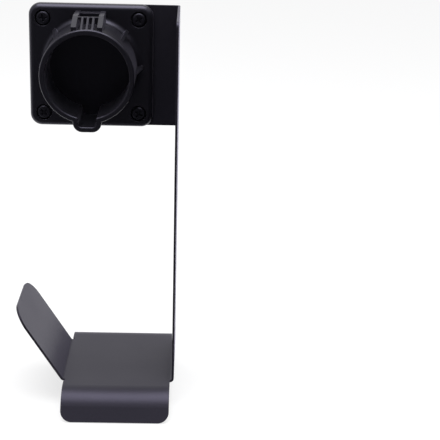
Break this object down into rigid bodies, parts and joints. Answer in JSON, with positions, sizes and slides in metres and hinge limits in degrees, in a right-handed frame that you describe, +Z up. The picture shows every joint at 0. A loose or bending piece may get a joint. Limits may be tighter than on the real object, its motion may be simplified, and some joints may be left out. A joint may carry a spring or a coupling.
{
  "type": "ev connector holder",
  "caption": "Wall holder for a vehicle charging connector: bent sheet bracket with a round socket on its side flange and a saddle tray with a leaning lip for the coiled cable.",
  "frame": {"origin": "on the wall face of the plate, midway between the two upper wall holes", "axes": "+X along the wall to the right as seen from the room, +Y into the wall, +Z up"},
  "size_m": [0.1036, 0.087, 0.2123],
  "materials": {
    "powder_coat": "fine satin texture",
    "moulded_plastic": "matte",
    "black_steel": "black oxide",
    "zinc_steel": "zinc plated"
  },
  "bodies": {
    "root": {"wall_bracket": "powder_coat", "connector_holster": "moulded_plastic", "holster_screws": "black_steel", "spring_washers": "zinc_steel", "holster_nuts": "black_steel"}
  },
  "joints": []
}
